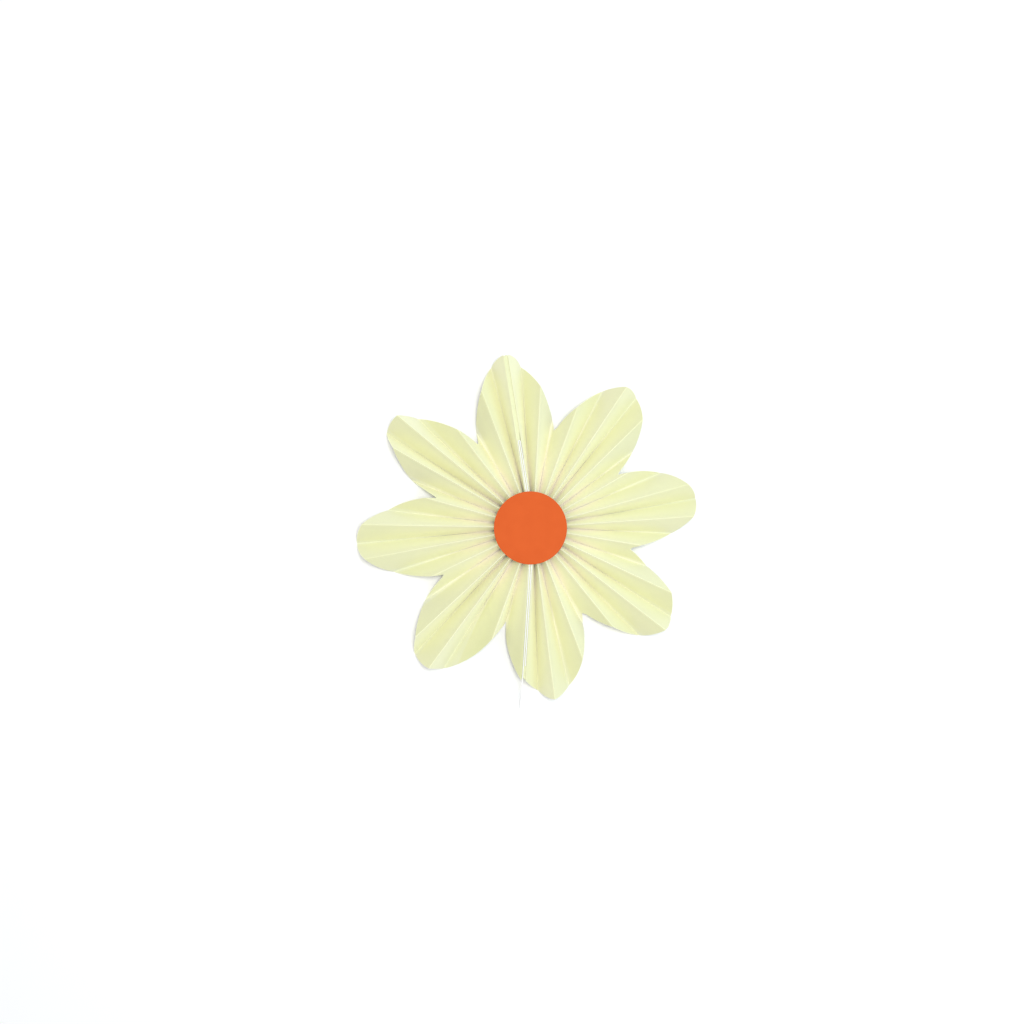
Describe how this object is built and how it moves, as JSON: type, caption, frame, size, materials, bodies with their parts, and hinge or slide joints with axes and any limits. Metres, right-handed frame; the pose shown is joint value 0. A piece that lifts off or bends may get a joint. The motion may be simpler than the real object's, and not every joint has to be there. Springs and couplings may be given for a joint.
{
  "type": "paper fan rosette",
  "caption": "Pleated paper rosette opened into a daisy with rounded petals, a card disc in the middle and a thin string tied round its waist.",
  "frame": {"origin": "middle of the fan's outline seen from the front, on the surface that its back folds lie on", "axes": "+Z out of the front, through the disc; +Y to the top, where the hanging loop lies; +X to the right seen from the front"},
  "size_m": [0.2512, 0.2725, 0.0232],
  "materials": {
    "petal_paper": "matt coloured paper",
    "disc_card": "smooth matt card",
    "string": "twisted cotton string",
    "tape": "thin double sided paper tape",
    "foam": "adhesive foam"
  },
  "bodies": {
    "root": {"pleated_fan": "petal_paper", "seam_tape_bottom": "tape", "seam_tape_top": "tape", "waist_tie": "string", "hanging_loop": "string", "string_tail_long": "string", "string_tail_short": "string", "disc_pad": "foam", "centre_disc": "disc_card"}
  },
  "joints": []
}
